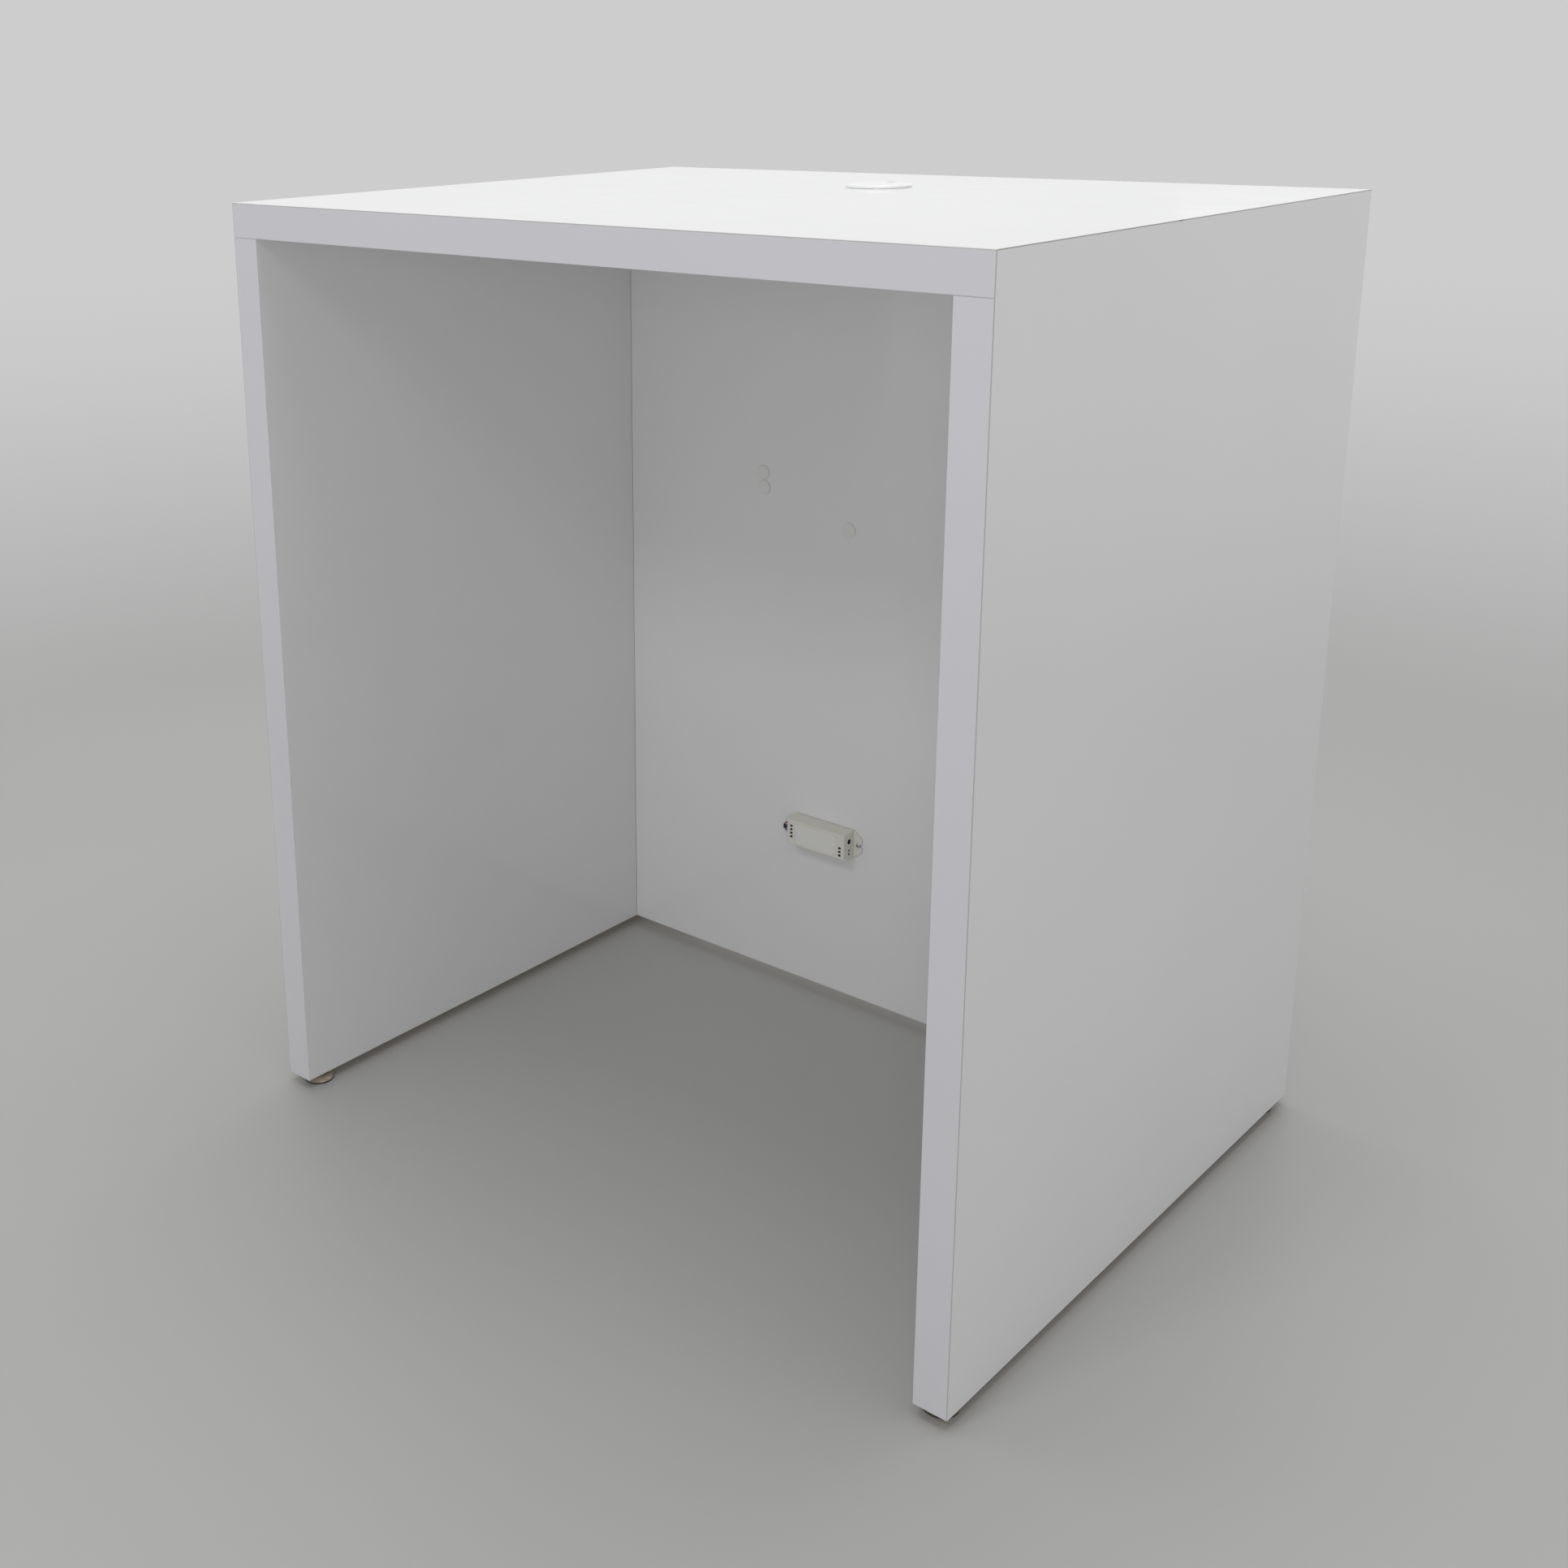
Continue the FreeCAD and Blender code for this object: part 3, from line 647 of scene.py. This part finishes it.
circuitValues = {
    "mask": (0.015, 0.13, 0.05),
    "track": (0.03, 0.22, 0.09),
    "trackScale": 90.0,
    "trackHeight": 0.00003,
    "roughness": 0.35,
}
stripValues = {
    "film": (0.84, 0.83, 0.79),
    "copper": (0.62, 0.36, 0.20),
    "chipBody": (0.82, 0.81, 0.76),
    "phosphor": (0.86, 0.70, 0.18),
    "chipPitch": 1.0 / 60.0,
    "chipFoot": 266.55 * mm,
    "padsFrom": 0.42,  # shares of the pitch, from a chip's middle
    "windowTo": 0.11,
    "padHeight": 0.00003,
    "roughness": 0.5,
}
opalValues = {
    "tones": ((0.90, 0.90, 0.885), (0.86, 0.86, 0.85)),
    "ior": 1.49,
    "passes": 0.25,  # share of light that goes through
    "roughness": (0.42, 0.55),
    "hazeScale": 300.0,
    "hazeStretch": (0.05, 1.0, 1.0),
    "hazeHeight": 0.000005,
}


def makeCircuitFinish(values):
    finish, tree, shader, place = startFinish("solderMask", Roughness=values["roughness"])
    parts = axisParts(tree, place.outputs["Object"])
    flat = addNode(tree, "CombineXYZ", {0: parts[sideways], 1: parts[upwards]}).outputs[0]
    cells = addNode(tree, "TexBrick", {"Vector": flat, "Scale": values["trackScale"]})
    tracks = cells.outputs["Fac"]
    colourFrom(tree, shader, mixed(tree, tracks, values["mask"], values["track"]))
    bump(tree, shader, tracks, values["trackHeight"])
    return finish


def makeStripFinish(values):
    finish, tree, shader, place = startFinish("lightStrip", Roughness=values["roughness"])
    parts = axisParts(tree, place.outputs["Object"])
    step = maths(tree, "DIVIDE", parts[sideways], values["chipPitch"])
    fromChip = maths(tree, "PINGPONG", step, 0.5)
    onPads = maths(tree, "GREATER_THAN", fromChip, values["padsFrom"])
    film = mixed(tree, onPads, values["film"], values["copper"])
    onWindow = maths(tree, "LESS_THAN", fromChip, values["windowTo"])
    chip = mixed(tree, onWindow, values["chipBody"], values["phosphor"])
    proud = maths(tree, "GREATER_THAN", parts[forwards], values["chipFoot"])
    colourFrom(tree, shader, mixed(tree, proud, film, chip))
    bump(tree, shader, onPads, values["padHeight"])
    return finish


def makeOpalFinish(values):
    finish, tree, shader, place = startFinish("opalCover", IOR=values["ior"])
    shader.inputs["Transmission Weight"].default_value = values["passes"]
    lengthwise = stretched(tree, place.outputs["Object"], values["hazeStretch"])
    haze = noise(tree, lengthwise, values["hazeScale"], detail=3.0)
    colourFrom(tree, shader, mixed(tree, haze, *values["tones"]))
    roughnessFrom(tree, shader, remap(tree, haze, *noiseRange, *values["roughness"]))
    bump(tree, shader, haze, values["hazeHeight"])
    return finish


giveFinish(["circuit_board"], makeCircuitFinish(circuitValues))
giveFinish(["light_strip"], makeStripFinish(stripValues))
giveFinish(["light_diffuser"], makeOpalFinish(opalValues))
print("lights finished")


# Modelling helpers

cutTolerance = 0.001 * mm
pickTolerance = 0.01 * mm
facingShare = 0.9  # a normal this close to a direction faces it
alongShare = 0.99  # an edge this close to a direction runs along it


def startShape(name, add, **settings):
    bpy.ops.object.select_all(action="DESELECT")
    add(**settings)
    piece = bpy.context.object
    piece.name = name
    bpy.ops.object.transform_apply(location=True, rotation=True, scale=True)
    return piece


def clearPick(kind):
    bpy.ops.object.mode_set(mode="EDIT")
    bpy.ops.mesh.select_mode(type=kind)
    bpy.ops.mesh.select_all(action="DESELECT")
    bpy.ops.object.mode_set(mode="OBJECT")


def pickFaces(piece, test):
    clearPick("FACE")
    for face in piece.data.polygons:
        face.select = test(face.center, face.normal)
    bpy.ops.object.mode_set(mode="EDIT")


def pickEdges(piece, test):
    clearPick("EDGE")
    points = piece.data.vertices
    for edge in piece.data.edges:
        edge.select = all(test(points[index].co) for index in edge.vertices)
    bpy.ops.object.mode_set(mode="EDIT")


def pickEdgesAlong(piece, axis):
    clearPick("EDGE")
    points = piece.data.vertices
    for edge in piece.data.edges:
        run = points[edge.vertices[1]].co - points[edge.vertices[0]].co
        edge.select = abs(run[axis]) > alongShare * run.length
    bpy.ops.object.mode_set(mode="EDIT")


def pickAll():
    bpy.ops.object.mode_set(mode="EDIT")
    bpy.ops.mesh.select_all(action="SELECT")


def pull(move):
    bpy.ops.mesh.extrude_region_move(TRANSFORM_OT_translate={"value": move})


def cutFaces(piece, test, point, normal):
    pickFaces(piece, test)
    bpy.ops.mesh.bisect(plane_co=point, plane_no=normal, threshold=cutTolerance)


def trim(height, **part):
    bpy.ops.mesh.select_all(action="SELECT")
    bpy.ops.mesh.bisect(plane_co=(0, 0, height), plane_no=(0, 0, 1), use_fill=True,
                        threshold=cutTolerance, **part)


def joinShapes(shapes):
    bpy.ops.object.select_all(action="DESELECT")
    for shape in shapes:
        shape.select_set(True)
    bpy.context.view_layer.objects.active = shapes[0]
    bpy.ops.object.join()
    return shapes[0]


def copyShape(shape, name, move):
    twin = shape.copy()
    twin.data = shape.data.copy()
    twin.name = name
    twin.data.transform(move)
    bpy.context.collection.objects.link(twin)
    return twin


def smoothShape(piece, degrees):
    bpy.ops.object.mode_set(mode="OBJECT")
    bpy.ops.object.select_all(action="DESELECT")
    piece.select_set(True)
    bpy.context.view_layer.objects.active = piece
    bpy.ops.object.shade_smooth_by_angle(angle=math.radians(degrees))


def placePiece(piece, body, finish):
    piece.data.materials.clear()
    piece.data.materials.append(finish)
    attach(piece, body)


def facesStaff(centre, normal):
    return normal.y < -facingShare


# Slotted screws in the controller's terminals

terminalScrewValues = {
    "across": 2.7 * mm,
    "tall": 1.2 * mm,
    "rim": 0.22 * mm,
    "slotWidth": 0.55 * mm,
    "slotDepth": 0.5 * mm,
    "wellDepth": 2.0 * mm,
    "fromCaseEnd": 7.0 * mm,
    "pitch": 5.08 * mm,
    "outputWays": 4,
    "inputWays": 3,
    "turnStep": 67.0,  # degrees between one screw's slot and the next
    "smoothAngle": 30.0,
}


def terminalPlaces(values):
    caseLow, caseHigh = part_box("controller_cover")
    blocks = [
        ("output_terminals", values["outputWays"], caseLow.x + values["fromCaseEnd"]),
        ("input_terminals", values["inputWays"], caseHigh.x - values["fromCaseEnd"]),
    ]
    places = []
    for node, ways, x in blocks:
        low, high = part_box(node)
        middle = (low.z + high.z) / 2
        seat = low.y + values["wellDepth"]
        for way in range(ways):
            places.append(Vector((x, seat, middle + values["pitch"] * ((ways - 1) / 2 - way))))
    return places


def makeTerminalScrew(values):
    half = values["slotWidth"] / 2
    front = -values["tall"]
    screw = startShape("terminalScrew", bpy.ops.mesh.primitive_cylinder_add, vertices=28,
                       radius=values["across"] / 2, depth=values["tall"],
                       location=(0, front / 2, 0), rotation=(math.pi / 2, 0, 0))
    pickEdges(screw, lambda point: abs(point.y - front) < pickTolerance)
    bpy.ops.mesh.bevel(offset=values["rim"], segments=3, affect="EDGES")
    for height in (-half, half):
        cutFaces(screw, facesStaff, (0, 0, height), (0, 0, 1))
    pickFaces(screw, lambda centre, normal: facesStaff(centre, normal) and abs(centre.z) < half)
    pull((0, values["slotDepth"], 0))
    smoothShape(screw, values["smoothAngle"])
    return screw


def placeTerminalScrews(values):
    model = makeTerminalScrew(values)
    for number, place in enumerate(terminalPlaces(values)):
        turn = Matrix.Rotation(math.radians(values["turnStep"] * number), 4, "Y")
        name = "terminalScrew" + str(number + 1)
        screw = copyShape(model, name, Matrix.Translation(place) @ turn)
        placePiece(screw, "desk", dullSteel)
    bpy.data.objects.remove(model)


placeTerminalScrews(terminalScrewValues)
print("terminal screws set")


# Centre contact of the power socket

contactValues = {
    "across": 2.0 * mm,
    "reach": 7.6 * mm,
    "nose": 0.7 * mm,
    "collarAcross": 3.0 * mm,
    "collarTall": 0.8 * mm,
    "smoothAngle": 40.0,
}


def makeSocketContact(values):
    mount = [m for m in frame["record"]["mounts"] if m["name"] == "power_socket"][0]
    middle = Vector(mount["pos_m"])
    floor = middle - Vector((mount["dims"]["length_mm"] / 2 * mm, 0, 0))
    contact = startShape("socketContact", bpy.ops.mesh.primitive_cylinder_add, vertices=24,
                         radius=values["collarAcross"] / 2, depth=values["collarTall"],
                         location=floor + Vector((values["collarTall"] / 2, 0, 0)),
                         rotation=(0, math.pi / 2, 0))
    pickFaces(contact, lambda centre, normal: normal.x > facingShare)
    bpy.ops.mesh.inset(thickness=(values["collarAcross"] - values["across"]) / 2)
    pull((values["reach"] - values["collarTall"], 0, 0))
    tip = floor.x + values["reach"]
    pickEdges(contact, lambda point: abs(point.x - tip) < pickTolerance)
    bpy.ops.mesh.bevel(offset=values["nose"], segments=4, affect="EDGES")
    smoothShape(contact, values["smoothAngle"])
    placePiece(contact, "desk", zinc)


makeSocketContact(contactValues)
print("socket contact set")


# Pan-head screws with a cross recess through the controller's tabs

mountingScrewValues = {
    "headAcross": 6.0 * mm,
    "headTall": 1.8 * mm,
    "dome": 1.15 * mm,
    "shankAcross": 3.0 * mm,
    "shankLength": 11.0 * mm,
    "pointLength": 3.0 * mm,
    "crossWidth": 0.85 * mm,
    "crossReach": 1.5 * mm,
    "crossDepth": 0.9 * mm,
    "crossTaper": 0.6,  # size of the recess's floor as a share of its mouth
    "pointTaper": 0.12,  # size of the point as a share of the shank
    "secondTurn": 25.0,  # degrees
    "smoothAngle": 30.0,
}


def narrowShape(share):
    bpy.ops.transform.resize(value=(share, 1.0, share), center_override=(0, 0, 0))


def cutCross(screw, values):
    half = values["crossWidth"] / 2
    reach = values["crossReach"]
    for edge in (-reach, -half, half, reach):
        cutFaces(screw, facesStaff, (edge, 0, 0), (1, 0, 0))
        cutFaces(screw, facesStaff, (0, 0, edge), (0, 0, 1))

    def inCross(centre, normal):
        narrow, wide = sorted((abs(centre.x), abs(centre.z)))
        return facesStaff(centre, normal) and narrow < half and wide < reach

    pickFaces(screw, inCross)
    pull((0, values["crossDepth"], 0))
    narrowShape(values["crossTaper"])


def makeMountingScrew(values):
    front = -values["headTall"]
    screw = startShape("mountingScrews", bpy.ops.mesh.primitive_cylinder_add, vertices=32,
                       radius=values["headAcross"] / 2, depth=values["headTall"],
                       location=(0, front / 2, 0), rotation=(math.pi / 2, 0, 0))
    pickEdges(screw, lambda point: abs(point.y - front) < pickTolerance)
    bpy.ops.mesh.bevel(offset=values["dome"], segments=6, affect="EDGES")
    pickFaces(screw, lambda centre, normal: normal.y > facingShare)
    bpy.ops.mesh.inset(thickness=(values["headAcross"] - values["shankAcross"]) / 2)
    pull((0, values["shankLength"], 0))
    pull((0, values["pointLength"], 0))
    narrowShape(values["pointTaper"])
    cutCross(screw, values)
    smoothShape(screw, values["smoothAngle"])
    return screw


def placeMountingScrews(values):
    low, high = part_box("controller_screws")
    seat = low.y + values["headTall"]
    height = (low.z + high.z) / 2
    radius = values["headAcross"] / 2
    first = makeMountingScrew(values)
    places = [Vector((x, seat, height)) for x in (low.x + radius, high.x - radius)]
    turned = Matrix.Rotation(math.radians(values["secondTurn"]), 4, "Y")
    second = copyShape(first, "secondScrew", Matrix.Translation(places[1]) @ turned)
    first.data.transform(Matrix.Translation(places[0]))
    screws = joinShapes([first, second])
    placePiece(screws, "desk", zinc)
    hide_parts("controller_screws")


placeMountingScrews(mountingScrewValues)
print("mounting screws set")


# Threaded stems of the levelling feet

stemValues = {
    "pitch": 1.25 * mm,
    "crestRadius": 3.96 * mm,
    "rootRadius": 3.32 * mm,
    "crestWidth": 0.16 * mm,
    "flankWidth": 0.37 * mm,
    "steps": 24,
    "neckRadius": 3.0 * mm,
    "neckEase": 0.4 * mm,
    "collarHeights": (6.0 * mm, 11.7 * mm),
    "collarFlats": 13.0 * mm,
    "collarEase": 0.6 * mm,
    "overlap": 0.5 * mm,  # how far the thread and the neck reach into the collar
    "seedSize": 0.1 * mm,  # the small square that is merged to the thread line's first point
    "weldTolerance": 0.002 * mm,
    "smoothAngle": 25.0,
}


def drawThreadLine(values):
    root, crest = values["rootRadius"], values["crestRadius"]
    flank, flat = values["flankWidth"], values["crestWidth"]
    thread = startShape("footStem", bpy.ops.mesh.primitive_plane_add, size=values["seedSize"],
                        location=(root, 0, 0))
    pickAll()
    bpy.ops.mesh.merge(type="CENTER")
    bpy.ops.mesh.select_mode(type="VERT")
    bpy.ops.mesh.select_all(action="SELECT")
    rootWidth = values["pitch"] - 2 * flank - flat
    for out, up in ((crest - root, flank), (0, flat), (root - crest, flank), (0, rootWidth)):
        pull((out, 0, up))
    bpy.ops.object.mode_set(mode="OBJECT")
    return thread


def makeThread(values, low, high):
    thread = drawThreadLine(values)
    turns = math.ceil((high - low) / values["pitch"]) + 2
    screw = thread.modifiers.new("winding", "SCREW")
    screw.screw_offset = values["pitch"]
    screw.iterations = turns
    screw.steps = screw.render_steps = values["steps"]
    bpy.ops.object.modifier_apply(modifier=screw.name)
    pickAll()
    bpy.ops.mesh.remove_doubles(threshold=values["weldTolerance"])
    bpy.ops.transform.translate(value=(0, 0, low - values["pitch"]))
    bpy.ops.mesh.normals_make_consistent(inside=False)
    trim(low, clear_inner=True)
    trim(high, clear_outer=True)
    bpy.ops.object.mode_set(mode="OBJECT")
    return thread


def makeCollar(values):
    low, high = values["collarHeights"]
    collar = startShape("stemCollar", bpy.ops.mesh.primitive_cylinder_add, vertices=6,
                        radius=values["collarFlats"] / math.sqrt(3), depth=high - low,
                        location=(0, 0, (low + high) / 2), rotation=(0, 0, math.pi / 6))
    pickAll()
    bpy.ops.mesh.bevel(offset=values["collarEase"], segments=2, affect="EDGES")
    bpy.ops.object.mode_set(mode="OBJECT")
    return collar


def makeNeck(values, low):
    high = values["collarHeights"][0] + values["overlap"]
    neck = startShape("stemNeck", bpy.ops.mesh.primitive_cylinder_add, vertices=28,
                      radius=values["neckRadius"], depth=high - low,
                      location=(0, 0, (low + high) / 2))
    pickEdges(neck, lambda point: abs(point.z - low) < pickTolerance)
    bpy.ops.mesh.bevel(offset=values["neckEase"], segments=2, affect="EDGES")
    bpy.ops.object.mode_set(mode="OBJECT")
    return neck


def placeStems(values):
    keys = [side + "_" + end for side in ("left", "right") for end in ("staff", "visitor")]
    low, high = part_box(keys[0] + "_foot_stem")
    thread = makeThread(values, values["collarHeights"][1] - values["overlap"], high.z)
    model = joinShapes([thread, makeCollar(values), makeNeck(values, low.z)])
    smoothShape(model, values["smoothAngle"])
    for key in keys:
        low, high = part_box(key + "_foot_stem")
        centre = Vector(((low.x + high.x) / 2, (low.y + high.y) / 2, 0))
        stem = copyShape(model, key + "_threadedStem", Matrix.Translation(centre))
        placePiece(stem, key + "_stem", zinc)
        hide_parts(key + "_foot_stem")
    bpy.data.objects.remove(model)


placeStems(stemValues)
print("threaded stems set")


# Blank label in the controller's recess

labelValues = {
    "size": (65.2 * mm, 0.16 * mm, 27.8 * mm),
    "corner": 2.0 * mm,
    "recess": 0.3 * mm,
    "ease": 0.05 * mm,
    "smoothAngle": 30.0,
    "tones": ((0.85, 0.845, 0.815), (0.84, 0.834, 0.80)),
    "roughness": (0.32, 0.38),
    "scuffScale": 420.0,
    "scuffRange": (0.35, 0.7),
    "grainScale": 1400.0,
    "grainHeight": 0.000004,
}


def makeLabelFinish(values):
    finish, tree, shader, place = startFinish("labelFilm")
    spot = place.outputs["Object"]
    scuff = noise(tree, spot, values["scuffScale"], detail=4.0, roughness=0.6)
    colourFrom(tree, shader, mixed(tree, remap(tree, scuff, *values["scuffRange"]), *values["tones"]))
    roughnessFrom(tree, shader, remap(tree, scuff, *noiseRange, *values["roughness"]))
    bump(tree, shader, noise(tree, spot, values["grainScale"], detail=1.0), values["grainHeight"])
    return finish


def makeLabel(values):
    low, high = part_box("controller_cover")
    thick = values["size"][1]
    middle = ((low.x + high.x) / 2, low.y + values["recess"] - thick / 2, (low.z + high.z) / 2)
    label = startShape("blankLabel", bpy.ops.mesh.primitive_cube_add, size=1.0, scale=values["size"],
                       location=middle)
    pickEdgesAlong(label, forwards)
    bpy.ops.mesh.bevel(offset=values["corner"], segments=6, affect="EDGES")
    front = low.y + values["recess"] - thick
    pickEdges(label, lambda point: abs(point.y - front) < pickTolerance)
    bpy.ops.mesh.bevel(offset=values["ease"], segments=1, affect="EDGES")
    smoothShape(label, values["smoothAngle"])
    placePiece(label, "desk", makeLabelFinish(values))


makeLabel(labelValues)
print("label set")


# Leads from the terminals back into the front panel

leadValues = {
    "diameter": 1.6 * mm,
    "roundness": 4,
    "roughness": (0.3, 0.45),
    "drawnScale": 700.0,
    "drawnHeight": 0.00001,
    "red": {
        "tones": ((0.20, 0.016, 0.025), (0.16, 0.012, 0.02)),
        "length": 59.9 * mm,
        "route": ((-145.5, 233.0, 244.62), (-161.2, 233.0, 244.62), (-175.2, 241.0, 230.2),
                  (-175.2, 247.0, 230.2), (-175.2, 266.2, 230.2)),
    },
    "blue": {
        "tones": ((0.05, 0.035, 0.16), (0.04, 0.028, 0.13)),
        "length": 55.8 * mm,
        "route": ((-145.5, 233.0, 239.54), (-161.2, 233.0, 239.54), (-172.8, 241.0, 230.2),
                  (-172.8, 247.0, 230.2), (-172.8, 266.2, 230.2)),
    },
    "green": {
        "tones": ((0.015, 0.075, 0.035), (0.012, 0.06, 0.028)),
        "length": 56.7 * mm,
        "route": ((-145.5, 233.0, 234.46), (-161.2, 233.0, 234.46), (-175.2, 241.0, 227.8),
                  (-175.2, 247.0, 227.8), (-175.2, 266.2, 227.8)),
    },
    "black": {
        "tones": ((0.018, 0.018, 0.018), (0.013, 0.013, 0.013)),
        "length": 53.9 * mm,
        "route": ((-145.5, 233.0, 229.38), (-161.2, 233.0, 229.38), (-172.8, 241.0, 227.8),
                  (-172.8, 247.0, 227.8), (-172.8, 266.2, 227.8)),
    },
}


def makeInsulation(name, tones, values):
    finish, tree, shader, place = startFinish(name)
    spot = place.outputs["Object"]
    drawn = noise(tree, spot, values["drawnScale"], detail=3.0)
    colourFrom(tree, shader, mixed(tree, drawn, *tones))
    roughnessFrom(tree, shader, remap(tree, drawn, *noiseRange, *values["roughness"]))
    bump(tree, shader, drawn, values["drawnHeight"])
    return finish


def makeLead(colour, values):
    own = values[colour]
    points = [Vector(point) * mm for point in own["route"]]
    line = bpy.data.curves.new(colour + "Lead", "CURVE")
    line.dimensions = "3D"
    line.bevel_depth = values["diameter"] / 2
    line.bevel_resolution = values["roundness"]
    line.use_fill_caps = True
    spline = line.splines.new("NURBS")
    spline.points.add(len(points) - 1)
    for knot, point in zip(spline.points, points):
        knot.co = (*point, 1.0)
    spline.order_u = 3
    spline.use_endpoint_u = True
    lead = bpy.data.objects.new(colour + "Lead", line)
    bpy.context.collection.objects.link(lead)
    finish = makeInsulation(colour + "Insulation", own["tones"], values)
    placePiece(lead, "desk", finish)
    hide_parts("lead_" + colour)


for colour in ("red", "blue", "green", "black"):
    makeLead(colour, leadValues)
print("leads laid")
